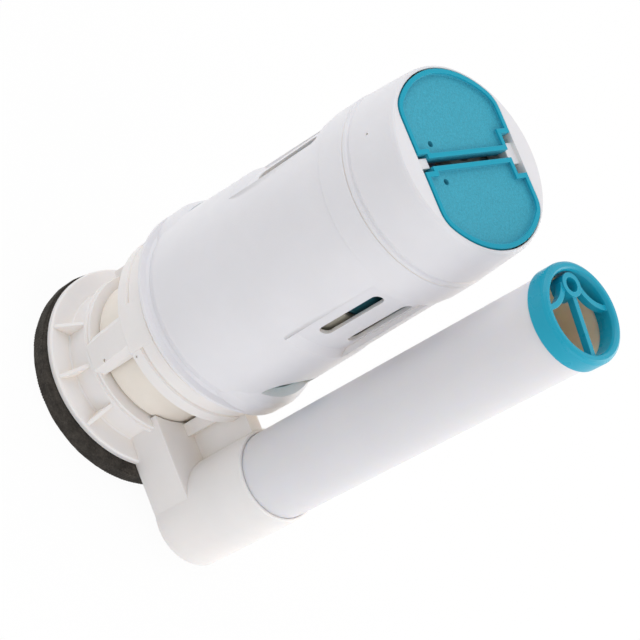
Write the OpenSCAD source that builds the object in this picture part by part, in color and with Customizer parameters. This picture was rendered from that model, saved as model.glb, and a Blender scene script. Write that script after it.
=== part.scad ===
// Dual-flush toilet flush valve: ported base, tower with two push buttons, side overflow tube.
// Millimetres. Origin on the tower axis at the underside of the sponge gasket, +Z up, tube along +X.

/* [Base] */
// Thickness of the sponge gasket
gasket_h = 6.5; // [6:0.1:7]
// Outer radius of the sponge gasket
gasket_r = 41.2; // [40:0.1:41.4]
// Outer radius of the base flange
flange_r = 38.8; // [37.5:0.1:39.5]
// Radius of the outlet bore
outlet_r = 24; // [23:0.1:24.4]
// Angle between the gussets at the front and rear of the throat
gusset_step = 30; // [24:1:33]
// Width of the flat post pads at the front and rear of the collar
post_w = 16.4; // [14:0.2:17]

/* [Tower] */
// Outer radius of the casing drum at its foot
drum_r = 36.4; // [36:0.1:36.8]
// Height of the tower top above the gasket underside
tower_h = 183.5; // [183.5:0.5:195]
// Half angle of each fluted recess in degrees
flute_half = 43.5; // [42:0.5:46]
// Width of the adjusting slots
slot_w = 4.4; // [3.6:0.1:4.8]
// Rounding of the button opening's corners
corner_r = 9; // [6:0.5:11]
// Half width of the straight-sided button opening
opening_half = 25.2; // [24.6:0.1:25.6]

/* [Buttons] */
// Gap between the two buttons
button_gap = 2.8; // [2.4:0.1:3.4]
// Depth of the sunk plate in each button
button_sink = 1.3; // [0.8:0.1:1.4]
// Width of the raised button rim
button_rim = 1.6; // [1.2:0.1:2.2]

/* [Overflow] */
// Distance between the tower axis and the overflow tube axis
tube_offset = 59.8; // [59.8:0.1:61]
// Outer radius of the overflow tube
tube_r = 16; // [15.4:0.1:16.1]
// Wall of the overflow tube
tube_wall = 1.6; // [1.4:0.1:2]
// Height of the overflow cap top
overflow_h = 200.1; // [180:0.1:230]
// Bore radius of the refill-hose holder
hose_r = 2.5; // [2.3:0.1:2.8]

/* [Mechanism] */
// Radius of the lever pins
pin_r = 1.5; // [1.3:0.1:1.7]
// Running clearance of a lever on its pin
pin_clear = 0.04; // [0.03:0.01:0.06]
// Clearance of sliding moulded parts
slide_clear = 0.4; // [0.35:0.05:0.45]

/* [Hidden] */
$fn = 64;
up = tower_h - 183.5;
z_fl = gasket_h;
z_fl_top = gasket_h + 2.7;
z_sill = 22.5;
z_seat = 24.5;
z_lintel = 44.5;
z_spider = 48.8;
z_case = 60.4;
z_band = 150.5 + up;
z_part = 161.3 + up;
z_ledge = z_part - 1.7;
z_head = z_part;
z_top = tower_h;
neck_r = drum_r - 2.6;
collar_r = drum_r - 0.4;
collar_in = drum_r - 4.5;
throat_r = 30.7;
port_in = throat_r - 2.1;
cup_r = port_in - 0.7;
cup_in = cup_r - 1.5;
cup_top = z_lintel - 1.1;
z_skirt = z_sill + 0.8;
seal_r = cup_in - 0.2;
case_bore = neck_r + 0.3;
flute_r = drum_r - 3.1;
rib_half = 3.5;
case_in = drum_r - 5.2;
slot_in = case_in + 0.7;
ledge_r = case_in - 1.6;
deck_r = case_in - 0.4;
float_r = case_in - 0.6;
head_in = drum_r - 5;
open_r = drum_r - 4.6;
bulge_x = 12;
gasket_off = 1.9;
socket_r = 17.3;
socket_bore = tube_r + 0.15;
z_tube = 30;
holder_x = -9.3;
holder_turn = -8;
z_joint = 54.7;
spigot_r = 27.5;
gusset_turn = -92.6;
post_turn = -95.5;
duct_half = 16.6;
duct_top = 25.4;
duct_in = duct_half - 2.8;
z_piv = 158 + up;
x_piv = 18.5;
arm_in = 12;
arm_out = 7.5;
tilt = 17;
end_r = 1.6;
touch = 0.25;
leg_x = x_piv + arm_out * 0.965;
leg_r = 3;
z_leg = z_piv + arm_out * sin(tilt) + end_r + touch;
z_lug = z_piv - arm_in * sin(tilt) + end_r + touch;
z_deck = 165 + up;
deck_h = 3;
z_btn = z_top + 0.3;
btn_gap = 0.5;
btn_r = open_r - btn_gap;
btn_half = opening_half - btn_gap;
z_btn_low = z_btn - 3.4;
stem_r = 5.5;
stem_bore = 3.2;
rod_r = 2.5;
pilot_r = 3.9;
z_hf = 126.3 + up;
hf_h = 12.1;
z_sleeve = 98.2;
z_ff = 68.4;
ff_h = 17.6;
slot_low = 114;
slot_high = 143;
window_low = 72.6;
window_r = 11.6;
lever_w = 5;
cheek_gap = 0.3;

module at_tube() {
  translate([tube_offset, 0, 0]) children();
}

// Sponge ring, slightly crowned on its outer edge, pushed a little towards the tube
module base_gasket() {
  gasket_in = spigot_r + gasket_off + 0.3;
  color([0.13, 0.12, 0.11])
    translate([gasket_off, 0, 0])
      rotate_extrude()
        polygon([[gasket_in, 0], [gasket_r - 0.8, 0], [gasket_r, 1.2], [gasket_r, gasket_h - 1],
          [gasket_r - 0.6, gasket_h], [gasket_in, gasket_h]]);
}

module throat_ring() {
  rotate_extrude()
    polygon([[outlet_r, 0], [spigot_r, 0], [spigot_r, z_fl], [flange_r - 0.4, z_fl], [flange_r, z_fl + 0.4],
      [flange_r, z_fl_top - 0.6], [flange_r - 0.6, z_fl_top], [throat_r + 0.5, z_fl_top],
      [throat_r, z_fl_top + 0.5], [throat_r, 18.6], [throat_r + 1.3, 19.4], [throat_r + 1.3, 20.6],
      [throat_r + 0.5, 20.9], [throat_r + 0.5, 21.5], [throat_r + 1, 21.8], [throat_r + 0.8, z_sill],
      [27.2, z_sill], [26.2, z_sill], [25.5, z_seat], [24.9, z_seat], [outlet_r + 0.5, z_seat - 1],
      [outlet_r, z_seat - 1.6], [outlet_r, 20.6], [27, 18.2], [27, 10.6], [outlet_r, 8.4]]);
}

module collar_ring() {
  rotate_extrude()
    polygon([[collar_in - 2.7, z_lintel], [collar_r - 0.9, z_lintel], [collar_r, z_lintel + 1],
      [collar_r, 50.2], [collar_r - 1, 50.6], [collar_r - 1, 51.5], [collar_r, 51.9], [collar_r, 57.4],
      [collar_r - 0.8, 58], [collar_r - 0.8, z_case], [neck_r, z_case], [neck_r, 66.4], [neck_r - 0.6, 67],
      [collar_in, 67], [collar_in, z_spider], [collar_in - 2.7, z_spider]]);
}

// Small blind hole running outwards
module pinhole(r) {
  rotate([0, 90, 0]) cylinder(r = r, h = 8, $fn = 24);
}

// Plain upright between two ports
module side_post(w, face) {
  translate([port_in, -w / 2, z_sill - 1.75])
    cube([face - port_in, w, z_lintel + 2 - z_sill + 1.75]);
}

// Leaning upright with chamfered edges, and the plain pad that carries it up over the collar
module post() {
  foot = throat_r + 1.7;
  brow = collar_r - 0.5;
  edge = 4.8;
  half = asin(post_w / 2 / collar_r);
  lean = atan((brow - foot) / (z_lintel - z_seat));
  difference() {
    rotate([90, 0, 0])
      translate([0, 0, -post_w / 2 + 1.2])
        linear_extrude(post_w - 2.4)
          polygon([[port_in, z_sill - 1.75], [foot - 0.4, z_sill - 1.75], [foot, z_seat],
            [brow, z_lintel + 0.2], [brow, z_lintel + 1.7], [port_in, z_lintel + 1.7]]);
    for (s = [-1, 1])
      translate([foot, s * edge, z_seat])
        rotate([0, lean, 0])
          rotate([0, 0, s * 48])
            translate([0, -14, -10]) cube([14, 28, 40]);
  }
  rotate([0, 0, -half])
    rotate_extrude(angle = 2 * half)
      polygon([[collar_in + 1.2, z_lintel + 0.6], [collar_r - 0.1, z_lintel + 0.6],
        [collar_r + 0.12, z_lintel + 1.2], [collar_r + 0.12, 57.7], [collar_in + 1.2, 57.7]]);
}

module gusset() {
  rotate([90, 0, 0])
    translate([0, 0, -0.7])
      linear_extrude(1.4)
        polygon([[throat_r - 1, z_fl_top - 0.5], [flange_r - 0.9, z_fl_top - 0.5],
          [flange_r - 0.9, z_fl_top + 0.25], [throat_r + 0.3, 18.9], [throat_r - 1, 18.9]]);
}

// Foot of the valve: flange, throat, ports, collar, side duct and tube socket in one moulding
module base_body() {
  color([0.93, 0.90, 0.82])
    difference() {
      union() {
        throat_ring();
        collar_ring();
        rotate([0, 0, post_turn]) post();
        rotate([0, 0, post_turn + 180]) post();
        rotate([0, 0, 180]) side_post(11, collar_r - 2.6);
        side_post(11, collar_r - 2.6);
        for (side = [0, 180])
          for (i = [-1, 0, 1])
            rotate([0, 0, gusset_turn + side + i * gusset_step]) gusset();
        difference() {
          translate([20, -duct_half, z_fl]) cube([tube_offset - 20, 2 * duct_half, duct_top - z_fl]);
          translate([0, 0, z_fl - 1]) cylinder(r = throat_r - 2.3, h = 30);
        }
        translate([collar_in + 1.1, -2.6, 25]) cube([tube_offset - socket_r - collar_in + 0.3, 5.2, 28.2]);
        at_tube()
          rotate_extrude()
            polygon([[0, 5.2], [socket_r - 1.4, 5.2], [socket_r, 6.6], [socket_r, z_joint - 0.6],
              [socket_r - 0.5, z_joint], [0, z_joint]]);
      }
      translate([22, -duct_in, z_fl + 3]) cube([tube_offset - 22, 2 * duct_in, 8.3]);
      translate([32.6, -duct_in, z_fl + 3]) cube([tube_offset - 32.6, 2 * duct_in, 13.4]);
      at_tube() translate([0, 0, 8]) cylinder(r = 13.6, h = 60);
      at_tube() translate([0, 0, z_tube - 2]) cylinder(r = socket_bore, h = 60);
      translate([0, 0, z_spider]) cylinder(r = collar_in, h = 30);
      rotate([0, 0, post_turn]) translate([throat_r + 0.3, 4, 28.9]) pinhole(0.6);
      rotate([0, 0, -79.6]) translate([collar_r - 1.8, 0, 46.9]) pinhole(0.4);
    }
}

module tube_seal() {
  color([0.16, 0.16, 0.17])
    at_tube()
      translate([0, 0, z_tube - 2])
        difference() {
          cylinder(r = tube_r - 0.1, h = 2);
          translate([0, 0, -1]) cylinder(r = 13.8, h = 4);
        }
}

module overflow_tube() {
  color([0.90, 0.91, 0.94])
    at_tube()
      translate([0, 0, z_tube])
        difference() {
          cylinder(r = tube_r, h = overflow_h - 1.6 - z_tube);
          translate([0, 0, -1]) cylinder(r = tube_r - tube_wall, h = overflow_h);
        }
}

// Ring over the tube mouth with the refill-hose holder carried on a leg and two curved arms
module overflow_cap() {
  cap_r = tube_r + 1.2;
  zc = overflow_h - 7.3;
  zr = overflow_h - 6.4;
  in_r = tube_r - tube_wall;
  mouth_r = in_r - 0.3;
  bar_h = 2.4;
  bar_w = 1.8;
  zb = zr + 4.8 - bar_h;
  arm_r = 11.3;
  arm_x = holder_x - 3.9;
  arm_y = 14.4;
  color([0.05, 0.55, 0.66])
    at_tube() {
      rotate_extrude()
        polygon([[tube_r + 0.1, zc], [cap_r - 0.3, zc], [cap_r, zc + 0.4], [cap_r, overflow_h - 1.6],
          [cap_r - 0.35, overflow_h - 0.6], [cap_r - 1.2, overflow_h], [in_r + 0.5, overflow_h],
          [in_r, overflow_h - 0.4], [in_r - 0.4, overflow_h - 1.3], [in_r - 0.5, zr], [in_r - 0.1, zr],
          [in_r - 0.1, overflow_h - 1.6], [tube_r + 0.1, overflow_h - 1.6]]);
      rotate([0, 0, holder_turn])
        difference() {
          union() {
            translate([holder_x, 0, zr]) cylinder(r = hose_r + 1.6, h = 5.4, $fn = 48);
            translate([holder_x + hose_r + 0.5, -bar_w / 2, zb])
              cube([mouth_r - holder_x - hose_r - 0.5, bar_w, bar_h]);
            for (s = [-1, 1])
              intersection() {
                translate([arm_x, s * arm_y, zb])
                  difference() {
                    cylinder(r = arm_r + bar_w / 2, h = bar_h);
                    translate([0, 0, -1]) cylinder(r = arm_r - bar_w / 2, h = 8);
                  }
                translate([holder_x - 1, s * 10 - 10, zr]) cube([14, 20, 6]);
                translate([0, 0, zr]) cylinder(r = mouth_r + 0.05, h = 6);
              }
          }
          translate([holder_x, 0, zr - 1]) cylinder(r = hose_r, h = 9, $fn = 48);
        }
    }
}

module slot(z0, z1, w) {
  translate([drum_r - 10.4, 0, 0])
    rotate([90, 0, 90])
      linear_extrude(18)
        union() {
          translate([-w / 2, z0 + w / 2]) square([w, z1 - z0 - w]);
          translate([0, z0 + w / 2]) circle(r = w / 2, $fn = 32);
          translate([0, z1 - w / 2]) circle(r = w / 2, $fn = 32);
        }
}

// Half-round opening over a bulged cheek
module low_window() {
  translate([drum_r - 10.4, 0, window_low])
    rotate([90, 0, 90])
      linear_extrude(18)
        intersection() {
          circle(r = window_r);
          translate([-window_r - 1, 0]) square([2 * window_r + 2, window_r + 1]);
        }
}

// Tower drum with a foot bead, bulged cheeks, low windows, fluted recesses with a rib, and the upper band
module casing() {
  r1 = drum_r - 1;
  r2 = drum_r - 1.9;
  bulge_r = drum_r + 2.9 - bulge_x;
  color([0.91, 0.91, 0.93])
    difference() {
      union() {
        rotate_extrude()
          polygon([[case_bore, z_case], [drum_r + 2, z_case], [drum_r + 2.4, z_case + 0.5],
            [drum_r + 2.2, z_case + 1.4], [drum_r + 0.2, z_case + 2], [drum_r - 0.7, z_case + 2.9],
            [drum_r - 0.6, z_case + 3.9], [drum_r - 0.05, z_case + 5.4], [r1, 104], [r2, z_band],
            [r2 + 0.5, z_band + 0.3], [r2 + 0.3, z_part - 0.4], [r2, z_part], [case_in, z_part],
            [case_in, z_ledge], [ledge_r, z_ledge], [ledge_r, z_ledge - 2], [case_in, z_ledge - 3.6],
            [case_in, slot_high + 6], [slot_in, slot_high + 5], [slot_in, slot_low - 5],
            [case_in, slot_low - 6], [case_in, z_sleeve], [case_in - 1, z_sleeve],
            [case_in - 1, z_sleeve - 0.8], [case_in + 2.2, 94], [case_in + 2.4, 72], [case_bore, 69]]);
        for (a = [0, 180])
          rotate([0, 0, a])
            difference() {
              translate([bulge_x, 0, 0])
                rotate_extrude()
                  polygon([[0, z_case], [bulge_r, z_case], [bulge_r, 67.4], [bulge_r - 0.7, 70],
                    [bulge_r - 4, 76], [0, 76]]);
              translate([0, 0, z_case - 1]) cylinder(r = case_bore + 0.6, h = 30);
            }
      }
      for (a = [0, 180])
        rotate([0, 0, a]) {
          for (from = [-flute_half, rib_half])
            rotate([0, 0, from])
              rotate_extrude(angle = flute_half - rib_half)
                polygon([[flute_r, 107.5], [drum_r + 2, 99], [drum_r + 8, 99], [drum_r + 8, z_band - 1.2],
                  [drum_r + 2, z_band - 1.2], [flute_r, z_band - 4.5]]);
          for (b = [-32, -10.7, 10.7, 32])
            rotate([0, 0, b]) slot(slot_low, slot_high, slot_w);
          low_window();
        }
    }
}

// Points of an arc, without its last one
function arc(middle, r, from, to, steps) =
  [for (i = [0 : steps - 1]) let (a = from + (to - from) * i / steps) middle + r * [cos(a), sin(a)]];

// Round side between two straight edges, from the lower edge to the upper one, with rounded corners
function round_side(r, half, corner) =
  let (y = half - corner, x = sqrt(pow(r - corner, 2) - y * y), a = atan2(y, x))
    concat(arc([x, -y], corner, -90, -a, 6), arc([0, 0], r, -a, a, 32),
      arc([x, y], corner, a, 90, 6), [[x, half]]);

module stadium(r, half, corner) {
  side = round_side(r, half, corner);
  polygon(concat(side, -side));
}

// Head shell with a straight-sided opening, guide walls, hook tab and bracket tab
module casing_head() {
  r0 = drum_r - 1.8;
  color([0.92, 0.92, 0.94])
    union() {
      difference() {
        union() {
          difference() {
            rotate_extrude()
              polygon([[0, z_head], [r0 - 0.4, z_head], [r0, z_head + 0.4], [r0, z_head + 1.6],
                [r0 - 0.7, z_head + 2.1], [r0 - 0.7, z_head + 2.8], [r0 - 0.2, z_head + 3.4],
                [r0 - 1.2, z_top - 4], [r0 - 1.5, z_top - 1.5], [r0 - 1.9, z_top - 0.4], [r0 - 2.3, z_top],
                [0, z_top]]);
            translate([0, 0, z_head - 1]) cylinder(r = head_in, h = z_top - z_head - 2);
          }
          for (s = [-1, 1])
            intersection() {
              translate([-40, s > 0 ? opening_half - 0.6 : -opening_half - 1.4, z_top - 12])
                cube([80, 2, 11.4]);
              translate([0, 0, z_head]) cylinder(r = head_in + 0.8, h = 40);
            }
        }
        translate([0, 0, z_top - 14])
          linear_extrude(60)
            stadium(open_r, opening_half, corner_r + btn_gap);
        rotate([0, 0, -118.1]) translate([r0 - 2, 0, 172.5 + up]) pinhole(0.4);
      }
      translate([-4.2, 20.8, z_top - 4.6]) cube([7.4, opening_half - 20.3, 3.2]);
      translate([-1.9, -opening_half - 0.5, z_top - 3.4]) cube([3.4, 5.2, 2.6]);
    }
}

// Plate under the buttons: guides the two legs and hangs the lever cheeks
module lever_deck() {
  color([0.85, 0.85, 0.87])
    difference() {
      union() {
        translate([0, 0, z_deck]) cylinder(r = deck_r, h = deck_h);
        for (s = [-1, 1])
          rotate([0, 0, s > 0 ? 0 : 180]) {
            translate([leg_x, 0, z_deck - 1.5]) cylinder(r = leg_r + 1.6, h = deck_h + 3, $fn = 48);
            for (t = [-1, 1])
              translate([x_piv - 3.6, t * (lever_w / 2 + cheek_gap + 1.3) - 1.3, z_piv - 3.6])
                cube([7.2, 2.6, z_deck - z_piv + 4]);
          }
        rotate_extrude()
          polygon([[deck_r - 1.1, z_ledge], [deck_r, z_ledge], [deck_r, z_deck + 1],
            [deck_r - 1.1, z_deck + 1]]);
      }
      translate([0, 0, z_deck - 6]) cylinder(r = 11.5, h = 20);
      for (s = [-1, 1])
        rotate([0, 0, s > 0 ? 0 : 180]) {
          translate([leg_x, 0, z_deck - 6]) cylinder(r = leg_r + 0.3, h = 20, $fn = 48);
          translate([x_piv, 20, z_piv]) rotate([90, 0, 0]) cylinder(r = pin_r + 0.02, h = 40, $fn = 32);
        }
      for (a = [60, 120, 240, 300])
        rotate([0, 0, a]) translate([20.5, 0, z_deck - 6]) cylinder(r = 5, h = 20, $fn = 48);
    }
}

// Sleeve on the casing ledge, under the upper float
module float_sleeve() {
  wall_r = case_in - 0.6;
  color([0.80, 0.78, 0.72])
    rotate_extrude()
      polygon([[wall_r - 1.6, z_sleeve], [case_in - 0.15, z_sleeve], [case_in - 0.15, z_sleeve + 1.6],
        [wall_r, z_sleeve + 1.6], [wall_r, 123.6], [wall_r - 0.4, 124], [wall_r - 1.6, 124]]);
}

// Spider standing on the collar ledge that guides the stem
module stem_guide() {
  ring_r = collar_in - 0.4;
  z_arm = z_spider + 4;
  color([0.93, 0.91, 0.85])
    difference() {
      union() {
        rotate_extrude()
          polygon([[ring_r - 2.1, z_spider], [ring_r, z_spider], [ring_r, z_arm + 4.6],
            [ring_r - 2.1, z_arm + 4.6]]);
        translate([0, 0, z_arm]) cylinder(r = stem_r + slide_clear + 2.4, h = 13);
        for (a = [45, 135, 225, 315])
          rotate([0, 0, a]) translate([4, -1.3, z_arm]) cube([ring_r - 5.2, 2.6, 4.4]);
      }
      translate([0, 0, 40]) cylinder(r = stem_r + slide_clear, h = 40);
    }
}

module lever_pin() {
  translate([x_piv, 5.6, z_piv]) rotate([90, 0, 0]) cylinder(r = pin_r, h = 11.2, $fn = 32);
}

module full_pin() {
  color([0.62, 0.63, 0.65]) lever_pin();
}

module half_pin() {
  color([0.62, 0.63, 0.65]) rotate([0, 0, 180]) lever_pin();
}

// Coil swept as rings of points joined by quads
module coil(rm, wire, z0, z1, turns) {
  n = 20;
  k = 8;
  steps = turns * n;
  pts = [for (i = [0 : steps]) for (j = [0 : k - 1])
    let (a = 360 * i / n, b = 360 * j / k, q = rm + wire * cos(b))
      [q * cos(a), q * sin(a), z0 + wire + (z1 - z0 - 2 * wire) * i / steps + wire * sin(b)]];
  side = [for (i = [0 : steps - 1]) for (j = [0 : k - 1])
    [i * k + j, i * k + (j + 1) % k, (i + 1) * k + (j + 1) % k, (i + 1) * k + j]];
  head = [for (j = [0 : k - 1]) k - 1 - j];
  tail = [for (j = [0 : k - 1]) steps * k + j];
  polyhedron(points = pts, faces = concat([head], side, [tail]));
}

module button_spring() {
  translate([leg_x, 0, 0]) coil(leg_r + 1.2, 0.4, z_deck + deck_h + 1.5, z_btn_low - 0.05, 5);
}

module full_spring() {
  color([0.66, 0.67, 0.68]) button_spring();
}

module half_spring() {
  color([0.66, 0.67, 0.68]) rotate([0, 0, 180]) button_spring();
}

module d_shape(inset) {
  x = button_gap / 2 + inset;
  y = btn_half - inset;
  polygon(concat(round_side(btn_r - inset, y, corner_r - inset), [[x, y], [x, -y]]));
}

// Cut-outs that clear the head's bracket tab and hook tab
module notches(grow) {
  translate([-10, 20.1 - grow]) square([17.2 + grow, 20]);
  translate([-10, -40.2 + grow]) square([13 + grow, 20]);
}

// Push plate with a raised rim, notches for the head tabs and a leg that presses the lever
module button_full_shape() {
  difference() {
    union() {
      translate([0, 0, z_btn_low]) linear_extrude(z_btn - z_btn_low) d_shape(0);
      translate([leg_x, 0, z_leg + 4]) cylinder(r = leg_r, h = z_btn_low - z_leg - 3, $fn = 48);
      translate([leg_x, 0, z_leg]) cylinder(r = 1.5, h = 6, $fn = 32);
      translate([0, 0, z_btn_low - 1.4]) linear_extrude(1.8)
        difference() {
          d_shape(0.2);
          d_shape(0.75);
        }
    }
    translate([0, 0, z_btn - button_sink])
      linear_extrude(5)
        difference() {
          d_shape(button_rim);
          notches(button_rim);
        }
    translate([0, 0, z_btn - 20]) linear_extrude(40) notches(0);
    translate([6.5, -15.2, z_btn - 9]) cylinder(r = 1.1, h = 12, $fn = 24);
  }
}

module full_button() {
  color([0.05, 0.52, 0.62]) button_full_shape();
}

module half_button() {
  color([0.05, 0.52, 0.62])
    mirror([1, 0, 0]) button_full_shape();
}

// Two-armed lever with rounded ends and a bossed pivot
module lever_shape() {
  translate([x_piv, lever_w / 2, z_piv])
    rotate([90, 0, 0])
      rotate([0, 0, tilt])
        difference() {
          union() {
            linear_extrude(lever_w)
              polygon([[-arm_in, -1.3], [-2.4, -2.6], [2.4, -2.6], [arm_out, -1.2], [arm_out, 0.9],
                [2.8, 1.1], [0, 2.8], [-2.8, 1.1], [-arm_in, 0.8]]);
            translate([-arm_in, 0, 0]) cylinder(r = end_r, h = lever_w, $fn = 32);
            translate([arm_out, 0, 0]) cylinder(r = end_r, h = lever_w, $fn = 32);
            cylinder(r = 3.1, h = lever_w, $fn = 48);
          }
          translate([0, 0, -1]) cylinder(r = pin_r + pin_clear, h = lever_w + 2, $fn = 32);
        }
}

module full_lever() {
  color([0.80, 0.81, 0.83]) lever_shape();
}

module half_lever() {
  color([0.80, 0.81, 0.83]) rotate([0, 0, 180]) lever_shape();
}

// Hollow lifting stem with flats beside the lever toes and a one-sided lug
module main_stem() {
  color([0.92, 0.90, 0.84])
    difference() {
      union() {
        translate([0, 0, 40]) cylinder(r = stem_r, h = z_lug - 40.6);
        translate([1.2, -3.4, z_lug]) cube([8, 6.8, 3]);
        intersection() {
          translate([0, 0, z_lug - 1.5]) cylinder(r = stem_r, h = 4.5);
          translate([1.2, -10, z_lug - 2]) cube([20, 20, 8]);
        }
      }
      translate([0, 0, 30]) cylinder(r = stem_bore, h = 200);
      translate([0, 0, 39]) cylinder(r = pilot_r + 0.4, h = 3.6);
      translate([4.3, -5, z_lug - 5]) cube([4, 10, 5]);
      translate([-8.3, -5, z_lug - 13]) cube([4, 10, 20]);
    }
}

// Foot screwed on the stem: pilot chamber with four inlets, port, and the skirted cup that holds the seal
module stem_foot() {
  color([0.90, 0.86, 0.76])
    difference() {
      rotate_extrude()
        polygon([[2.2, 20], [6, 20], [6, 27.7], [cup_in, 27.7], [cup_in, z_skirt], [cup_r - 0.4, z_skirt],
          [cup_r, z_skirt + 0.4], [cup_r, cup_top - 0.5], [cup_r - 0.4, cup_top], [cup_in + 0.3, cup_top],
          [cup_in - 0.1, cup_top - 0.4], [cup_in - 0.1, 30.4], [10, 30.6], [8, 33], [8, 45],
          [stem_r + 0.02, 45], [stem_r + 0.02, 40], [4.6, 40], [4.6, 32], [2.2, 32]]);
      for (a = [45, 135, 225, 315])
        rotate([0, 0, a]) translate([3, 0, 36.4]) rotate([0, 90, 0]) cylinder(r = 2, h = 8, $fn = 32);
    }
}

module main_seal() {
  color([0.86, 0.81, 0.70])
    rotate_extrude()
      polygon([[6.05, z_seat + 0.06], [seal_r - 0.6, z_seat + 0.06], [seal_r, z_seat + 0.8], [seal_r, 27.2],
        [seal_r - 0.5, 27.65], [6.05, 27.65]]);
}

module seal_retainer() {
  color([0.88, 0.85, 0.76])
    rotate_extrude()
      polygon([[6.05, 21], [12, 21], [19.6, 23.2], [19.6, z_seat + 0.02], [6.05, z_seat + 0.02]]);
}

module float_ring(bore, r, z0, h) {
  rotate_extrude()
    polygon([[bore, z0], [bore + 1.6, z0], [bore + 1.6, z0 + h - 1.8], [r - 1.6, z0 + h - 1.8], [r - 1.6, z0],
      [r, z0], [r, z0 + h - 1.4], [r - 1.4, z0 + h], [bore, z0 + h]]);
}

// Inverted cup that holds air, clamped on the stem
module full_float() {
  color([0.05, 0.48, 0.58]) float_ring(stem_r + 0.02, float_r + 1.6, z_ff, ff_h);
}

module pilot_rod() {
  color([0.86, 0.87, 0.89])
    union() {
      translate([0, 0, 34.6]) cylinder(r = rod_r, h = z_lug + 3 - 34.6);
      translate([-9.2, -3.4, z_lug]) cube([8.6, 6.8, 3]);
    }
}

module pilot_seal() {
  color([0.86, 0.81, 0.70])
    translate([0, 0, 32.06])
      cylinder(r = pilot_r, h = 2.5);
}

// Bracket from the pilot rod lug down to the upper float
module half_link() {
  color([0.80, 0.78, 0.72])
    difference() {
      translate([-9.2, -5.4, z_hf + hf_h]) cube([4.3, 10.8, z_lug + 4.4 - z_hf - hf_h]);
      translate([-20, -3.4, z_hf]) cube([30, 6.8, z_lug + 3 - z_hf]);
    }
}

// Upper float, an inverted cup riding outside the stem
module half_float() {
  color([0.05, 0.48, 0.58]) float_ring(stem_r + slide_clear, float_r - 0.2, z_hf, hf_h);
}

base_gasket();
base_body();
tube_seal();
overflow_tube();
overflow_cap();
casing();
casing_head();
lever_deck();
float_sleeve();
stem_guide();
full_pin();
half_pin();
full_spring();
half_spring();
full_button();
half_button();
full_lever();
half_lever();
main_stem();
stem_foot();
main_seal();
seal_retainer();
full_float();
pilot_rod();
pilot_seal();
half_link();
half_float();
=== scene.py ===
"""Looks of a dual-flush toilet flush valve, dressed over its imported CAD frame."""

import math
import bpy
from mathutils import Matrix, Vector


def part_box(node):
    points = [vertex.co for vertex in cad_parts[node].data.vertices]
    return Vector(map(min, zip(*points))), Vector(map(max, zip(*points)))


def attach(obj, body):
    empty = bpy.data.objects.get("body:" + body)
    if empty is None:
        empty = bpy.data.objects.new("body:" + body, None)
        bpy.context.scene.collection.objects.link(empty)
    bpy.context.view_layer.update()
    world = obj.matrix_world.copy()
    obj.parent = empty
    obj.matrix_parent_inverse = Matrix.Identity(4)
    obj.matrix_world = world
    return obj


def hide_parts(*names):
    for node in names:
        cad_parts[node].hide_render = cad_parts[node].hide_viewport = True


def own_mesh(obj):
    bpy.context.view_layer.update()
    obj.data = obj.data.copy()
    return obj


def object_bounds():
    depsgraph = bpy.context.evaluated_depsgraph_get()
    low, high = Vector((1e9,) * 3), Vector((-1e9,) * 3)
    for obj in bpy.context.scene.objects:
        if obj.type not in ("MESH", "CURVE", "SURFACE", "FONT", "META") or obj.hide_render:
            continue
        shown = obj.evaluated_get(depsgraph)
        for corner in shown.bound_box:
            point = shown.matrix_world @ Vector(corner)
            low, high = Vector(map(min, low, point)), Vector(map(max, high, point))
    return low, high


bl_info = {
    "name": "Flush Valve Looks",
    "version": (1, 0, 0),
    "blender": (4, 5, 0),
    "location": "3D View > Sidebar > Flush Valve",
    "description": "Finishes the mouldings, models the gasket and return coils and sets the studio",
    "category": "Object",
}

import bpy
from bpy.props import FloatProperty, FloatVectorProperty, IntProperty, PointerProperty
from bpy.types import Operator, Panel, PropertyGroup
from mathutils import Matrix, Vector

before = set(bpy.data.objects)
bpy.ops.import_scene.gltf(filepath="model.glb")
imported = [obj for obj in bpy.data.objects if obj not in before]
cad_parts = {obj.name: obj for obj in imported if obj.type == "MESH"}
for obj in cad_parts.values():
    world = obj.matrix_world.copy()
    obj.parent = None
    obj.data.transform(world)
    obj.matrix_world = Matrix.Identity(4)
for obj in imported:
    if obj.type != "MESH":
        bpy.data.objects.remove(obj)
CAD_LOW, CAD_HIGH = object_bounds()
GASKET_LOW, GASKET_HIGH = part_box("base_gasket")
BUTTON_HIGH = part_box("full_button")[1]
TUBE_LOW, TUBE_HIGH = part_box("overflow_tube")
MM = 0.001
SMOOTH_ANGLE = math.radians(50.0)

# Moulded plastic
PLASTIC_IOR = 1.49
FLOW_SCALE = 38.0
GLOSS_SCALE = 170.0
SINK_SCALE = 60.0
SKIN_SCALE = 1900.0
RECESS_REACH = 14.0 * MM
CAP_EDGE_REACH = 0.55 * MM
CAP_EDGE_SHARE = 0.7
MOULDED_GLOW_DEPTH = 2.0 * MM

# Drawn tube
TUBE_IOR = 1.5
DRAWN_SCALE = 420.0
DRAWN_DEPTH = 0.018 * MM
CLOUD_SCALE = 26.0
TUBE_SKIN_SCALE = 1500.0
TUBE_GLOW = 0.6
TUBE_GLOW_DEPTH = 3.0 * MM
BORE_START = 1.3 * MM
BORE_STOP = 1.0 * MM

# Buttons
GRAIN_SCALE = 1700.0
BUTTON_SINK_SCALE = 90.0
BUTTON_SHEEN = 0.16
BUTTON_EDGE_REACH = 0.5 * MM
BUTTON_EDGE_SHARE = 0.35
RIM_HEIGHT = 0.5 * MM
RIM_FADE = 0.2 * MM

# Sponge, rubber and steel
SPECK_SCALE = 240.0
SPECK_DEPTH = 0.5 * MM
CELL_DEPTH = 0.35 * MM
SPONGE_SHEEN = 0.3
BLOOM_SCALE = 120.0
SEAL_SKIN_SCALE = 900.0
SEAL_SKIN_DEPTH = 0.03 * MM
STEEL_SCALE = 2600.0

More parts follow.
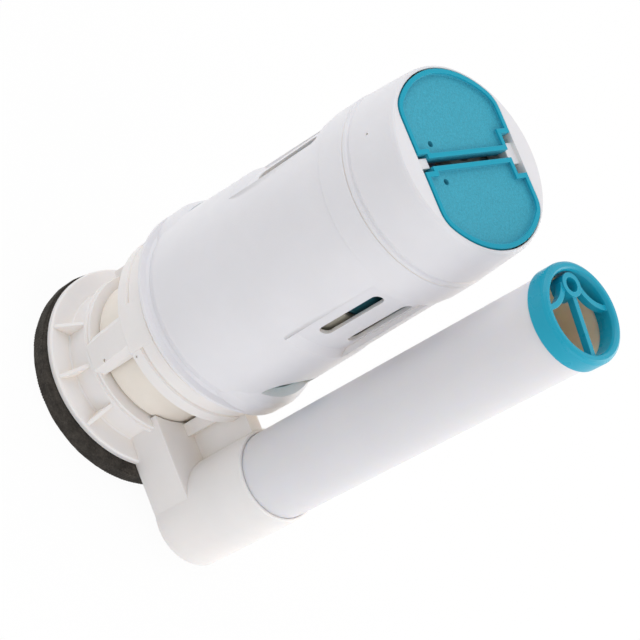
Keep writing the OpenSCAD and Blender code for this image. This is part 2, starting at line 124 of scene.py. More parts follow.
# Gasket form
LEVEL_LIMIT = 0.1 * MM
WALL_DEPTH = 2.0 * MM
LUMP_SCALE = 9.0 * MM
LUMP_MIDDLE = 0.62

# Studio
SENSOR_WIDTH = 36.0
CLIP_START = 0.01
CLIP_END = 50.0
STUDIO_HEART = (0.02, 0.0, 0.1)
SOFTBOX_SIDE = 0.9
LEFT_PLACE = (-0.95, -0.1, 0.75)
RIGHT_PLACE = (0.95, -0.2, 0.5)
BACK_PLACE = (0.55, 0.8, 0.4)


def colour_property(name, description, default):
    """A linear colour that shows as a swatch in the sidebar."""
    return FloatVectorProperty(
        name=name, description=description, default=default, subtype="COLOR", size=3, min=0.0, max=1.0
    )


def length_property(name, description, default):
    """A length in metres."""
    return FloatProperty(name=name, description=description, default=default, unit="LENGTH", precision=5)


def angle_property(name, description, degrees):
    """An angle, given in degrees and kept in radians."""
    return FloatProperty(name=name, description=description, default=math.radians(degrees), subtype="ANGLE")


def amount_property(name, description, default):
    """A plain number, never below nought."""
    return FloatProperty(name=name, description=description, default=default, min=0.0)


class ValveColours(PropertyGroup):
    """Colours of the valve's materials."""

    base: colour_property("Base", "Creamy plastic of the ported base", (0.83, 0.805, 0.80))
    # Painted light: a lighter, warmer cream laid where recesses are occluded, standing in for bounced
    # light.
    recess_bounce_light: colour_property("Recesses", "Warm cream deep in the mouldings' recesses", (0.92, 0.86, 0.79))
    tower: colour_property("Tower", "Cool white plastic of the casing and head", (0.765, 0.76, 0.795))
    tube: colour_property("Tube", "White plastic of the overflow tube", (0.725, 0.715, 0.745))
    # Painted shade: a warmer colour inside the tube's bore, standing in for its shade and warm bounced
    # light.
    bore: colour_property("Tube bore", "Warm shaded plastic inside the overflow tube", (0.78, 0.725, 0.63))
    # Partly painted sheen: the plates' teal is paler than the rims', standing in for white light reflected
    # by the matte grain.
    teal: colour_property("Teal", "Teal plastic of the button plates", (0.050, 0.37, 0.505))
    rims: colour_property("Rims", "Deeper teal of the smooth button rims", (0.004, 0.34, 0.49))
    cap: colour_property("Cap", "Teal plastic of the overflow cap", (0.006, 0.345, 0.50))
    # Painted highlight: a lighter teal laid along the edges, standing in for light caught by rounded edges.
    wear_and_highlight: colour_property("Rubbed edges", "Lighter teal along the edges", (0.07, 0.52, 0.68))
    lower: colour_property("Lower float", "Teal plastic of the lower float", (0.012, 0.36, 0.48))
    # Painted shade: the upper float is a dark copy of the float teal, standing in for shade in its narrow
    # slot.
    upper: colour_property("Upper float", "Dark teal plastic of the upper float", (0.006, 0.075, 0.10))
    sponge: colour_property("Sponge", "Black-brown sponge of the base gasket", (0.030, 0.026, 0.022))
    silicone: colour_property("Silicone", "Cream silicone of the flush seals", (0.85, 0.80, 0.72))
    inner: colour_property("Inner plastic", "Natural plastic of the hidden mouldings", (0.86, 0.82, 0.76))
    foot: colour_property("Foot", "Tan plastic of the stem foot seen in the ports", (0.83, 0.77, 0.70))
    # Painted shade: the sleeve is a much darker copy of the natural plastic, standing in for shade deep
    # inside the casing.
    sleeve: colour_property("Sleeve", "Dull plastic of the float sleeve", (0.37, 0.35, 0.295))
    steel: colour_property("Steel", "Bright steel of the springs and pins", (0.62, 0.63, 0.65))


class ValveFinish(PropertyGroup):
    """Sizes of the surface detail."""

    edge: length_property("Edge softness", "Radius to which moulded edges look rounded", 0.30 * MM)
    skin: length_property("Skin depth", "Depth of the fine moulded skin", 0.03 * MM)
    ripple: length_property("Ripple depth", "Depth of the broad sink marks", 0.10 * MM)
    stipple: length_property("Stipple depth", "Depth of the grain on the button plates", 0.22 * MM)
    cells: length_property("Cell size", "Size of the open cells in the sponge", 0.9 * MM)


class GasketSizes(PropertyGroup):
    """Sizes of the sponge gasket."""

    outer: length_property("Outer radius", "Outer radius of the ring", (GASKET_HIGH.x - GASKET_LOW.x) / 2)
    inner: length_property("Inner radius", "Inner radius of the ring", 29.75 * MM)
    middle: length_property("Middle", "Shift towards the tube", (GASKET_HIGH.x + GASKET_LOW.x) / 2)
    height: length_property("Height", "Thickness under the flange", GASKET_HIGH.z - 0.06 * MM)
    round: length_property("Rounding", "Rounding of the outer edges", 1.1 * MM)
    lumps: length_property("Lumps", "How far the soft outer wall wanders", 0.7 * MM)
    segments: IntProperty(name="Segments", description="Steps round the ring", default=240, min=48)


class SpringSizes(PropertyGroup):
    """Sizes of the buttons' return coils."""

    wire: length_property("Wire", "Radius of the wire", 0.4 * MM)
    turns: IntProperty(name="Turns", description="Whole turns of each coil", default=5, min=2)
    steps: IntProperty(name="Steps", description="Steps in one turn", default=40, min=12)
    sides: IntProperty(name="Sides", description="Sides of the wire's round section", default=12, min=6)


class CameraSizes(PropertyGroup):
    """Place of the camera in the valve's frame."""

    lens: amount_property("Lens", "Focal length in millimetres on a 36 mm sensor", 121.04)
    azimuth: angle_property("Azimuth", "Turn of the view round the tower", 13.30)
    elevation: angle_property("Elevation", "Height of the view above the horizon", 40.65)
    roll: angle_property("Roll", "Turn of the camera about its own axis", 59.24)
    aim_height: length_property("Aim height", "Height of the aimed point on the tower axis", 91.88 * MM)
    depth: length_property("Depth", "Distance of the aimed point along the view", 734.85 * MM)
    off_right: length_property("Offset right", "Where the aimed point lies to the right", -12.46 * MM)
    off_up: length_property("Offset up", "Where the aimed point lies upwards", 15.26 * MM)


class StudioSizes(PropertyGroup):
    """Floor and light of the studio."""

    floor: length_property("Floor", "Side of the floor", 6.0)
    pale: colour_property("Floor colour", "Pale colour of the floor", (0.90, 0.90, 0.90))
    clean: amount_property("Clean", "Share of plain white the floor shows", 0.95)
    sky: amount_property("Sky", "Strength of the soft light all round", 0.70)
    left: amount_property("Left", "Power of the softbox on the tower's side", 4.0)
    right: amount_property("Right", "Power of the softbox on the tube's side", 3.3)
    back: amount_property("Back", "Power of the softbox behind the tube's side", 5.0)
    warm: colour_property("Warm", "Colour of the softbox behind the tube's side", (1.0, 0.93, 0.84))


def deselect_all():
    """Leaves object mode with nothing selected."""
    if bpy.context.object is not None and bpy.context.object.mode != "OBJECT":
        bpy.ops.object.mode_set(mode="OBJECT")
    bpy.ops.object.select_all(action="DESELECT")


def node(tree, kind, **values):
    """Adds a shader node and sets its plain attributes."""
    made = tree.nodes.new(kind)
    for name, value in values.items():
        setattr(made, name, value)
    return made


def new_tree(name):
    """A material with an output, a Principled shader and Object coordinates."""
    material = bpy.data.materials.new(name)
    material.use_nodes = True
    tree = material.node_tree
    tree.nodes.clear()
    output = node(tree, "ShaderNodeOutputMaterial")
    shader = node(tree, "ShaderNodeBsdfPrincipled")
    place = node(tree, "ShaderNodeTexCoord")
    tree.links.new(shader.outputs["BSDF"], output.inputs["Surface"])
    return material, tree, shader, place.outputs["Object"]


def noise(tree, place, scale, detail=2.0, rough=0.5):
    """A noise texture on the given coordinates."""
    made = node(tree, "ShaderNodeTexNoise")
    made.inputs["Scale"].default_value = scale
    made.inputs["Detail"].default_value = detail
    made.inputs["Roughness"].default_value = rough
    tree.links.new(place, made.inputs["Vector"])
    return made.outputs["Fac"]


def spread(tree, value, low, high, start=0.3, stop=0.7):
    """Maps a pattern's middle range to low and high."""
    made = node(tree, "ShaderNodeMapRange")
    made.inputs["From Min"].default_value = start
    made.inputs["From Max"].default_value = stop
    made.inputs["To Min"].default_value = low
    made.inputs["To Max"].default_value = high
    tree.links.new(value, made.inputs["Value"])
    return made.outputs["Result"]


def tint(tree, value, first, second):
    """Mixes two colours by a pattern."""
    made = node(tree, "ShaderNodeMix", data_type="RGBA")
    made.inputs["A"].default_value = (*first, 1.0)
    made.inputs["B"].default_value = (*second, 1.0)
    tree.links.new(value, made.inputs["Factor"])
    return made.outputs["Result"]


def laid_over(tree, value, under, over):
    """Lays a plain colour over a changing one by a pattern."""
    made = node(tree, "ShaderNodeMix", data_type="RGBA")
    made.inputs["B"].default_value = (*over, 1.0)
    tree.links.new(value, made.inputs["Factor"])
    tree.links.new(under, made.inputs["A"])
    return made.outputs["Result"]


def bounce_light_mask(tree, reach):
    """One deep in recesses and nought in the open; it places the painted warm bounce light."""
    made = node(tree, "ShaderNodeAmbientOcclusion", samples=8)
    made.inputs["Distance"].default_value = reach
    return spread(tree, made.outputs["AO"], 1.0, 0.0, 0.2, 0.6)


def bump(tree, height, distance, normal=None, strength=1.0):
    """Raises the surface by a pattern."""
    made = node(tree, "ShaderNodeBump")
    made.inputs["Strength"].default_value = strength
    made.inputs["Distance"].default_value = distance
    tree.links.new(height, made.inputs["Height"])
    if normal is not None:
        tree.links.new(normal, made.inputs["Normal"])
    return made.outputs["Normal"]


def soft_edges(tree, radius):
    """A normal that rounds the moulded edges."""
    made = node(tree, "ShaderNodeBevel", samples=6)
    made.inputs["Radius"].default_value = radius
    return made.outputs["Normal"]


def edge_highlight_share(tree, reach, most):
    """A share that rises along the edges, up to the most given, for painted edge highlights."""
    shape = node(tree, "ShaderNodeNewGeometry")
    turn = node(tree, "ShaderNodeVectorMath", operation="DOT_PRODUCT")
    tree.links.new(soft_edges(tree, reach), turn.inputs[0])
    tree.links.new(shape.outputs["Normal"], turn.inputs[1])
    return spread(tree, turn.outputs["Value"], most, 0.0, 0.75, 0.97)


def stretched(tree, place, scale):
    """Coordinates drawn out along one axis."""
    made = node(tree, "ShaderNodeMapping")
    made.inputs["Scale"].default_value = scale
    tree.links.new(place, made.inputs["Vector"])
    return made.outputs["Vector"]


def shaded(colour, amount):
    """A colour made lighter or darker."""
    return tuple(min(1.0, max(0.0, part * amount)) for part in colour)


def moulded_plastic(name, colour, rough, mottle=0.03, glow=0.0, sheen=0.5, recess_bounce_light=None, wear_and_highlight=None):
    """Injection-moulded plastic: faint flow mottling, fine skin, broad sink marks and softened edges, with
    optional painted warm bounce light in recesses and painted highlights along the edges.
    """
    finish = bpy.context.scene.valve_finish
    material, tree, shader, place = new_tree(name)
    flow = noise(tree, place, FLOW_SCALE, 4.0, 0.6)
    share = spread(tree, flow, 0.0, 1.0)
    base = tint(tree, share, shaded(colour, 1.0 - mottle), shaded(colour, 1.0 + mottle))
    # Painted light: occluded recesses turn lighter and warmer, standing in for bounced light.
    if recess_bounce_light is not None:
        base = laid_over(tree, bounce_light_mask(tree, RECESS_REACH), base, recess_bounce_light)
    # Painted highlight: edges take a lighter colour, standing in for light caught by rounded edges.
    if wear_and_highlight is not None:
        base = laid_over(tree, edge_highlight_share(tree, CAP_EDGE_REACH, CAP_EDGE_SHARE), base, wear_and_highlight)
    tree.links.new(base, shader.inputs["Base Color"])
    gloss = spread(tree, noise(tree, place, GLOSS_SCALE, 3.0), rough - 0.05, rough + 0.07)
    tree.links.new(gloss, shader.inputs["Roughness"])
    normal = soft_edges(tree, finish.edge)
    normal = bump(tree, noise(tree, place, SINK_SCALE, 1.0), finish.ripple, normal)
    normal = bump(tree, noise(tree, place, SKIN_SCALE, 2.0), finish.skin, normal)
    tree.links.new(normal, shader.inputs["Normal"])
    shader.inputs["IOR"].default_value = PLASTIC_IOR
    shader.inputs["Specular IOR Level"].default_value = sheen
    shader.inputs["Subsurface Weight"].default_value = glow
    shader.inputs["Subsurface Radius"].default_value = (1.0, 0.8, 0.65)
    shader.inputs["Subsurface Scale"].default_value = MOULDED_GLOW_DEPTH
    return material


def bore_shade_mask(tree, place):
    """One inside the overflow tube's wall and nought outside it; it places the painted warm shade."""
    radius = (TUBE_HIGH.x - TUBE_LOW.x) / 2
    middle = (TUBE_HIGH.x + TUBE_LOW.x) / 2
    flat = node(tree, "ShaderNodeMapping")
    flat.inputs["Location"].default_value = (-middle, 0.0, 0.0)
    flat.inputs["Scale"].default_value = (1.0, 1.0, 0.0)
    tree.links.new(place, flat.inputs["Vector"])
    reach = node(tree, "ShaderNodeVectorMath", operation="LENGTH")
    tree.links.new(flat.outputs["Vector"], reach.inputs[0])
    return spread(tree, reach.outputs["Value"], 1.0, 0.0, radius - BORE_START, radius - BORE_STOP)


def drawn_plastic(name, colour, bore, rough):
    """Extruded tube plastic: faint lines drawn along the tube, a smooth satin skin and a bore tinted with
    painted warm shade.
    """
    finish = bpy.context.scene.valve_finish
    material, tree, shader, place = new_tree(name)
    lines = noise(tree, stretched(tree, place, (1.0, 1.0, 0.02)), DRAWN_SCALE, 3.0)
    clouds = noise(tree, place, CLOUD_SCALE, 3.0)
    skin = tint(tree, spread(tree, clouds, 0.0, 1.0), shaded(colour, 0.98), shaded(colour, 1.02))
    # Painted shade: the bore turns warm beige.
    base = laid_over(tree, bore_shade_mask(tree, place), skin, bore)
    tree.links.new(base, shader.inputs["Base Color"])
    tree.links.new(spread(tree, lines, rough - 0.04, rough + 0.06), shader.inputs["Roughness"])
    normal = soft_edges(tree, finish.edge)
    normal = bump(tree, lines, DRAWN_DEPTH, normal)
    normal = bump(tree, noise(tree, place, TUBE_SKIN_SCALE, 2.0), finish.skin * 0.5, normal)
    tree.links.new(normal, shader.inputs["Normal"])
    shader.inputs["IOR"].default_value = TUBE_IOR
    shader.inputs["Subsurface Weight"].default_value = TUBE_GLOW
    shader.inputs["Subsurface Radius"].default_value = (1.0, 0.75, 0.5)
    shader.inputs["Subsurface Scale"].default_value = TUBE_GLOW_DEPTH
    return material


def button_plastic(name, colour, rims, wear_and_highlight, rough):
    """Teal plastic whose sunk plates carry a fine stipple and a paler teal that is partly painted sheen,
    while the raised rims stay smooth and deeper.
    """
    finish = bpy.context.scene.valve_finish
    material, tree, shader, place = new_tree(name)
    axes = node(tree, "ShaderNodeSeparateXYZ")
    tree.links.new(place, axes.inputs["Vector"])
    rim = BUTTON_HIGH.z - RIM_HEIGHT
    plate = spread(tree, axes.outputs["Z"], 1.0, 0.0, rim - RIM_FADE, rim)
    grain = noise(tree, place, GRAIN_SCALE, 3.0, 0.7)
    masked = node(tree, "ShaderNodeMath", operation="MULTIPLY")
    tree.links.new(plate, masked.inputs[0])
    tree.links.new(grain, masked.inputs[1])
    flecks = tint(tree, spread(tree, grain, 0.0, 1.0), shaded(colour, 0.82), shaded(colour, 1.18))
    # Painted sheen: the plates take the paler teal, the rims the deeper one.
    base = node(tree, "ShaderNodeMix", data_type="RGBA")
    base.inputs["A"].default_value = (*rims, 1.0)
    tree.links.new(plate, base.inputs["Factor"])
    tree.links.new(flecks, base.inputs["B"])
    # Painted highlight: a lighter teal along the buttons' edges.
    edges = edge_highlight_share(tree, BUTTON_EDGE_REACH, BUTTON_EDGE_SHARE)
    edged = laid_over(tree, edges, base.outputs["Result"], wear_and_highlight)
    tree.links.new(edged, shader.inputs["Base Color"])
    tree.links.new(spread(tree, plate, rough - 0.08, rough + 0.12, 0.0, 1.0), shader.inputs["Roughness"])
    normal = soft_edges(tree, finish.edge)
    normal = bump(tree, masked.outputs["Value"], finish.stipple, normal)
    normal = bump(tree, noise(tree, place, BUTTON_SINK_SCALE, 1.0), finish.ripple * 0.6, normal)
    tree.links.new(normal, shader.inputs["Normal"])
    shader.inputs["IOR"].default_value = PLASTIC_IOR
    shader.inputs["Specular IOR Level"].default_value = BUTTON_SHEEN
    return material


def sponge_rubber(name, colour):
    """Closed skin of black sponge with open cells and paler specks of wear."""
    finish = bpy.context.scene.valve_finish
    material, tree, shader, place = new_tree(name)
    cells = node(tree, "ShaderNodeTexVoronoi", feature="F1")
    cells.inputs["Scale"].default_value = 1.0 / finish.cells
    tree.links.new(place, cells.inputs["Vector"])
    pits = spread(tree, cells.outputs["Distance"], 0.0, 1.0, 0.1, 0.7)
    # Paler specks of wear, laid at random.
    wear_and_highlight = noise(tree, place, SPECK_SCALE, 4.0, 0.7)
    base = tint(tree, spread(tree, wear_and_highlight, 0.0, 1.0, 0.4, 0.8), colour, shaded(colour, 2.6))
    tree.links.new(base, shader.inputs["Base Color"])
    tree.links.new(spread(tree, pits, 0.78, 0.95, 0.0, 1.0), shader.inputs["Roughness"])
    normal = bump(tree, pits, CELL_DEPTH, None, 0.7)
    normal = bump(tree, wear_and_highlight, SPECK_DEPTH, normal, 0.6)
    tree.links.new(normal, shader.inputs["Normal"])
    shader.inputs["Specular IOR Level"].default_value = SPONGE_SHEEN
    return material


def seal_rubber(name, colour):
    """Smooth moulded rubber with a faint bloom."""
    material, tree, shader, place = new_tree(name)
    bloom = noise(tree, place, BLOOM_SCALE, 4.0, 0.65)
    base = tint(tree, spread(tree, bloom, 0.0, 1.0), colour, shaded(colour, 1.2))
    tree.links.new(base, shader.inputs["Base Color"])
    tree.links.new(spread(tree, bloom, 0.5, 0.68), shader.inputs["Roughness"])
    normal = bump(tree, noise(tree, place, SEAL_SKIN_SCALE), SEAL_SKIN_DEPTH)
    tree.links.new(normal, shader.inputs["Normal"])
    return material


def drawn_steel(name, colour):
    """Drawn spring steel with fine lines."""
    material, tree, shader, place = new_tree(name)
    lines = noise(tree, stretched(tree, place, (1.0, 0.06, 1.0)), STEEL_SCALE, 2.0)
    base = tint(tree, lines, shaded(colour, 0.85), shaded(colour, 1.1))
    tree.links.new(base, shader.inputs["Base Color"])
    tree.links.new(spread(tree, lines, 0.24, 0.38), shader.inputs["Roughness"])
    shader.inputs["Metallic"].default_value = 1.0
    return material


def dress(names, material):
    """Gives CAD nodes a finish."""
    for name in names:
        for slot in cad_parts[name].material_slots:
            slot.material = material


def return_spring(button, steel):
    """Winds a return coil that stands on the deck."""
    sizes = bpy.context.scene.valve_spring
    low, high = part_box(button + "_spring")
    length = high.z - low.z
    coil = (high.y - low.y) / 2 - sizes.wire
    middle = (low + high) / 2
    deselect_all()
    bpy.ops.mesh.primitive_circle_add(
        vertices=sizes.sides, radius=sizes.wire, location=(coil, 0.0, 0.0), rotation=(math.pi / 2, 0.0, 0.0)
    )
    spring = bpy.context.object
    spring.name = button + "_return_coil"
    bpy.ops.object.transform_apply(location=True, rotation=True, scale=False)
    wind = spring.modifiers.new("Wind", "SCREW")
    wind.axis = "Z"
    wind.iterations = sizes.turns
    wind.steps = wind.render_steps = sizes.steps
    wind.screw_offset = (length - 2.0 * sizes.wire) / sizes.turns
    bpy.ops.object.modifier_apply(modifier=wind.name)
    bpy.ops.object.mode_set(mode="EDIT")
    bpy.ops.mesh.select_all(action="SELECT")
    bpy.ops.mesh.fill_holes(sides=0)
    bpy.ops.mesh.select_all(action="SELECT")
    bpy.ops.mesh.normals_make_consistent(inside=False)
    bpy.ops.object.mode_set(mode="OBJECT")
    bpy.ops.object.shade_smooth_by_angle(angle=SMOOTH_ANGLE)
    spring.location = (middle.x, middle.y, low.z + sizes.wire)
    spring.rotation_euler.z = 0.0 if middle.x > 0.0 else math.pi
    bpy.ops.object.transform_apply(location=True, rotation=True, scale=False)
    spring.data.materials.append(steel)
    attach(spring, "valve_body")
    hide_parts(button + "_spring")
    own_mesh(spring)
    deselect_all()


class VALVE_OT_base(Operator):
    """Finishes the ported base and the guide that stands in it"""

    bl_idname = "valve.base"
    bl_label = "Finish Base"

    def execute(self, context):
        colours = context.scene.valve_colours
        cream = moulded_plastic(
            "cream_base_plastic", colours.base, 0.42, mottle=0.025, glow=0.35, recess_bounce_light=colours.recess_bounce_light
        )
        dress(["base_body"], cream)
        dress(["stem_guide"], moulded_plastic("cream_guide_plastic", shaded(colours.base, 0.97), 0.45))
        return {"FINISHED"}


class VALVE_OT_tower(Operator):
    """Finishes the casing and its head"""

    bl_idname = "valve.tower"
    bl_label = "Finish Tower"

    def execute(self, context):
        colours = context.scene.valve_colours
        white = moulded_plastic(
            "white_tower_plastic", colours.tower, 0.36, mottle=0.02, glow=0.20, recess_bounce_light=colours.recess_bounce_light
        )
        dress(["casing", "casing_head"], white)
        return {"FINISHED"}


class VALVE_OT_overflow(Operator):
    """Finishes the overflow tube and its cap"""

    bl_idname = "valve.overflow"
    bl_label = "Finish Overflow"

    def execute(self, context):
        colours = context.scene.valve_colours
        dress(["overflow_tube"], drawn_plastic("white_tube_plastic", colours.tube, colours.bore, 0.34))
        teal = moulded_plastic("teal_cap_plastic", colours.cap, 0.30, 0.04, sheen=0.3, wear_and_highlight=colours.wear_and_highlight)
        dress(["overflow_cap"], teal)
        return {"FINISHED"}


class VALVE_OT_buttons(Operator):
    """Finishes the two push buttons"""

    bl_idname = "valve.buttons"
    bl_label = "Finish Buttons"

    def execute(self, context):
        colours = context.scene.valve_colours
        teal = button_plastic("teal_button_plastic", colours.teal, colours.rims, colours.wear_and_highlight, 0.42)
        dress(["full_button", "half_button"], teal)
        return {"FINISHED"}


class VALVE_OT_works(Operator):
    """Finishes the levers, stems, floats, seals and pins inside the tower and winds the return coils"""

    bl_idname = "valve.works"
    bl_label = "Finish Works"

    def execute(self, context):
        colours = context.scene.valve_colours
        natural = moulded_plastic("natural_inner_plastic", colours.inner, 0.45, 0.05)
        dress(["lever_deck", "full_lever", "half_lever", "main_stem"], natural)
        dress(["seal_retainer", "pilot_rod", "half_link"], natural)
        dress(["stem_foot"], moulded_plastic("tan_foot_plastic", colours.foot, 0.45, 0.05, 0.2))
        # Painted shade: the sleeve's dark colour stands in for shade in the casing.
        dress(["float_sleeve"], moulded_plastic("sleeve_plastic_painted_shade", colours.sleeve, 0.5, 0.05))
        dress(["full_float"], moulded_plastic("teal_float_plastic", colours.lower, 0.36, 0.08))
        # Painted shade: the upper float's dark teal stands in for shade in its slot.
        dress(["half_float"], moulded_plastic("upper_float_plastic_painted_shade", colours.upper, 0.36, 0.08))
        dress(["main_seal", "pilot_seal"], seal_rubber("cream_seal_silicone", colours.silicone))
        dress(["tube_seal"], seal_rubber("black_tube_rubber", colours.sponge))
        steel = drawn_steel("drawn_steel", colours.steel)
        dress(["full_pin", "half_pin"], steel)
        for button in ("full", "half"):
            return_spring(button, steel)
        return {"FINISHED"}


class VALVE_OT_gasket(Operator):
    """Models the sponge gasket under the flange"""

    bl_idname = "valve.gasket"
    bl_label = "Model Gasket"

    def execute(self, context):
        sizes = context.scene.valve_gasket
        deselect_all()
        bpy.ops.mesh.primitive_circle_add(vertices=sizes.segments, radius=sizes.inner)
        ring = context.object
        ring.name = "sponge_gasket"
        bpy.ops.object.mode_set(mode="EDIT")
        bpy.ops.mesh.select_all(action="SELECT")
        bpy.ops.mesh.extrude_edges_move()
        widen = sizes.outer / sizes.inner
        bpy.ops.transform.resize(value=(widen, widen, 1.0))
        bpy.ops.mesh.select_all(action="SELECT")
        bpy.ops.mesh.extrude_region_move(TRANSFORM_OT_translate={"value": (0.0, 0.0, sizes.height)})
        bpy.ops.mesh.select_all(action="SELECT")
        bpy.ops.mesh.normals_make_consistent(inside=False)
        bpy.ops.object.mode_set(mode="OBJECT")
        middle = (sizes.outer + sizes.inner) / 2
        for edge in ring.data.edges:
            first, second = (ring.data.vertices[i].co for i in edge.vertices)
            level = abs(first.z - second.z) < LEVEL_LIMIT
            out = min(first.xy.length, second.xy.length) > middle
            edge.select = level and out
        for part in (ring.data.vertices, ring.data.polygons):
            part.foreach_set("select", [False] * len(part))
        bpy.ops.object.mode_set(mode="EDIT")
        bpy.ops.mesh.select_mode(type="EDGE")
        bpy.ops.mesh.bevel(offset=sizes.round, segments=4, affect="EDGES")
        bpy.ops.mesh.select_all(action="SELECT")
        bpy.ops.mesh.subdivide(number_cuts=2)
        bpy.ops.mesh.select_mode(type="VERT")
        bpy.ops.mesh.select_all(action="DESELECT")
        bpy.ops.object.mode_set(mode="OBJECT")
        outer_wall = ring.vertex_groups.new(name="outer_wall")
        wall = [v.index for v in ring.data.vertices if v.co.xy.length > sizes.outer - WALL_DEPTH]
        outer_wall.add(wall, 1.0, "REPLACE")
        lumps = bpy.data.textures.new("sponge_lumps", type="CLOUDS")
        lumps.noise_scale = LUMP_SCALE
        lumps.noise_depth = 3
        wander = ring.modifiers.new("Lumps", "DISPLACE")
        wander.texture = lumps
        wander.texture_coords = "LOCAL"
        wander.strength = sizes.lumps
        wander.mid_level = LUMP_MIDDLE
        wander.vertex_group = outer_wall.name
        bpy.ops.object.modifier_apply(modifier=wander.name)
        bpy.ops.object.shade_smooth_by_angle(angle=SMOOTH_ANGLE)
        ring.location.x = sizes.middle
        bpy.ops.object.transform_apply(location=True, rotation=False, scale=False)
        ring.data.materials.append(sponge_rubber("black_sponge", context.scene.valve_colours.sponge))
        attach(ring, "valve_body")
        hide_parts("base_gasket")
        deselect_all()
        return {"FINISHED"}


class VALVE_OT_camera(Operator):
    """Sets the camera at the picture's viewing angle"""

    bl_idname = "valve.camera"
    bl_label = "Set Camera"

    def execute(self, context):
        sizes = context.scene.valve_camera
        turn, lift, roll = sizes.azimuth, sizes.elevation, sizes.roll
        level = Vector((math.cos(turn), math.sin(turn), 0.0))
        back = Vector((math.sin(turn) * math.cos(lift), -math.cos(turn) * math.cos(lift), math.sin(lift)))
        upright = back.cross(level)
        right = level * math.cos(roll) + upright * math.sin(roll)
        up = upright * math.cos(roll) - level * math.sin(roll)
        aim = Vector((0.0, 0.0, sizes.aim_height))
        eye = aim + back * sizes.depth - right * sizes.off_right - up * sizes.off_up
        deselect_all()
        bpy.ops.object.camera_add(location=eye)
        camera = context.object
        camera.name = "studio_camera"
        axes = Matrix((right, up, back)).transposed()
        camera.rotation_mode = "QUATERNION"
        camera.rotation_quaternion = axes.to_quaternion()
        camera.data.sensor_width = SENSOR_WIDTH
        camera.data.lens = sizes.lens
        camera.data.clip_start = CLIP_START
        camera.data.clip_end = CLIP_END
        context.scene.camera = camera
        deselect_all()
        return {"FINISHED"}


def softbox(name, place, target, side, power):
    """A large square area lamp turned to a point."""
    deselect_all()
    bpy.ops.object.light_add(type="AREA", location=place)
    lamp = bpy.context.object
    lamp.name = name
    lamp.data.shape = "SQUARE"
    lamp.data.size = side
    lamp.data.energy = power
    aim = Vector(target) - Vector(place)
    lamp.rotation_mode = "QUATERNION"
    lamp.rotation_quaternion = aim.to_track_quat("-Z", "Y")
    return lamp


def seen_directly(tree):
    """One for rays that show the background: camera, glossy and transmitted ones."""
    path = node(tree, "ShaderNodeLightPath")
    first = node(tree, "ShaderNodeMath", operation="MAXIMUM")
    second = node(tree, "ShaderNodeMath", operation="MAXIMUM")
    tree.links.new(path.outputs["Is Camera Ray"], first.inputs[0])
    tree.links.new(path.outputs["Is Glossy Ray"], first.inputs[1])
    tree.links.new(first.outputs["Value"], second.inputs[0])
    tree.links.new(path.outputs["Is Transmission Ray"], second.inputs[1])
    return second.outputs["Value"]


def floor_finish(sizes):
    """Pale floor that shows nearly white and keeps a soft shadow."""
    material = bpy.data.materials.new("pale_floor")
    material.use_nodes = True
    tree = material.node_tree
    tree.nodes.clear()
    output = node(tree, "ShaderNodeOutputMaterial")
    matt = node(tree, "ShaderNodeBsdfDiffuse")
    matt.inputs["Color"].default_value = (*sizes.pale, 1.0)
    white = node(tree, "ShaderNodeEmission")
    white.inputs["Color"].default_value = (1.0, 1.0, 1.0, 1.0)
    white.inputs["Strength"].default_value = 1.0
    share = node(tree, "ShaderNodeMath", operation="MULTIPLY")
    share.inputs[1].default_value = sizes.clean
    tree.links.new(seen_directly(tree), share.inputs[0])
    mixed = node(tree, "ShaderNodeMixShader")
    tree.links.new(share.outputs["Value"], mixed.inputs["Fac"])
    tree.links.new(matt.outputs["BSDF"], mixed.inputs[1])
    tree.links.new(white.outputs["Emission"], mixed.inputs[2])
    tree.links.new(mixed.outputs["Shader"], output.inputs["Surface"])
    return material


def white_world(scene, sizes):
    """Even light all round, white where it is seen directly."""
    world = bpy.data.worlds.new("studio_world")
    world.use_nodes = True
    tree = world.node_tree
    tree.nodes.clear()
    output = node(tree, "ShaderNodeOutputWorld")
    light = node(tree, "ShaderNodeBackground")
    light.inputs["Color"].default_value = (1.0, 1.0, 1.0, 1.0)
    strength = spread(tree, seen_directly(tree), sizes.sky, 1.0, 0.0, 1.0)
    tree.links.new(strength, light.inputs["Strength"])
    tree.links.new(light.outputs["Background"], output.inputs["Surface"])
    scene.world = world


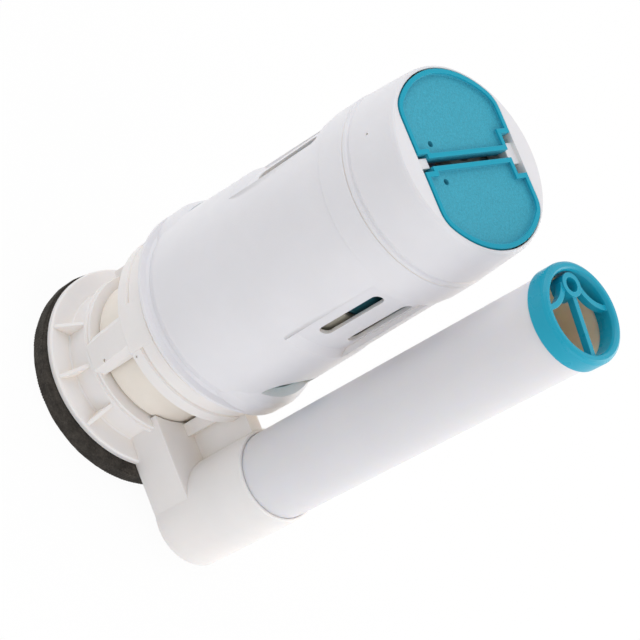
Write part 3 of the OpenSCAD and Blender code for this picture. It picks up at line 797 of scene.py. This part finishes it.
class VALVE_OT_stage(Operator):
    """Lays the floor and sets the studio light"""

    bl_idname = "valve.stage"
    bl_label = "Set Stage"

    def execute(self, context):
        sizes = context.scene.valve_studio
        deselect_all()
        bpy.ops.mesh.primitive_plane_add(size=sizes.floor, location=(0.0, 0.0, CAD_LOW.z))
        floor = context.object
        floor.name = "studio_floor"
        bpy.ops.object.transform_apply(location=True, rotation=False, scale=False)
        floor.data.materials.append(floor_finish(sizes))
        softbox("left_softbox", LEFT_PLACE, STUDIO_HEART, SOFTBOX_SIDE, sizes.left)
        softbox("right_softbox", RIGHT_PLACE, STUDIO_HEART, SOFTBOX_SIDE, sizes.right)
        rim_light = softbox("back_softbox", BACK_PLACE, STUDIO_HEART, SOFTBOX_SIDE, sizes.back)
        rim_light.data.color = sizes.warm
        white_world(context.scene, sizes)
        context.scene.view_settings.view_transform = "Standard"
        deselect_all()
        return {"FINISHED"}


OPERATORS = (
    VALVE_OT_camera,
    VALVE_OT_base,
    VALVE_OT_gasket,
    VALVE_OT_tower,
    VALVE_OT_overflow,
    VALVE_OT_buttons,
    VALVE_OT_works,
    VALVE_OT_stage,
)
GROUPS = {
    "valve_colours": ValveColours,
    "valve_finish": ValveFinish,
    "valve_gasket": GasketSizes,
    "valve_spring": SpringSizes,
    "valve_camera": CameraSizes,
    "valve_studio": StudioSizes,
}


class VALVE_PT_sidebar(Panel):
    """Sidebar list of the valve's sizes, colours and steps"""

    bl_idname = "VALVE_PT_sidebar"
    bl_label = "Flush Valve"
    bl_space_type = "VIEW_3D"
    bl_region_type = "UI"
    bl_category = "Flush Valve"

    def draw(self, context):
        for group in GROUPS:
            box = self.layout.box()
            box.label(text=group.replace("_", " ").capitalize())
            sizes = getattr(context.scene, group)
            for name in sizes.__annotations__:
                box.prop(sizes, name)
        for step in OPERATORS:
            self.layout.operator(step.bl_idname)


def register():
    """Registers the groups, operators and panel."""
    for attribute, group in GROUPS.items():
        bpy.utils.register_class(group)
        setattr(bpy.types.Scene, attribute, PointerProperty(type=group))
    for step in OPERATORS:
        bpy.utils.register_class(step)
    bpy.utils.register_class(VALVE_PT_sidebar)


def unregister():
    """Takes them away again."""
    bpy.utils.unregister_class(VALVE_PT_sidebar)
    for step in reversed(OPERATORS):
        bpy.utils.unregister_class(step)
    for attribute, group in reversed(GROUPS.items()):
        delattr(bpy.types.Scene, attribute)
        bpy.utils.unregister_class(group)


def main():
    """Runs every step in order."""
    register()
    bpy.ops.valve.camera()
    bpy.ops.valve.base()
    bpy.ops.valve.gasket()
    bpy.ops.valve.tower()
    bpy.ops.valve.overflow()
    bpy.ops.valve.buttons()
    bpy.ops.valve.works()
    bpy.ops.valve.stage()


if __name__ == "__main__":
    main()
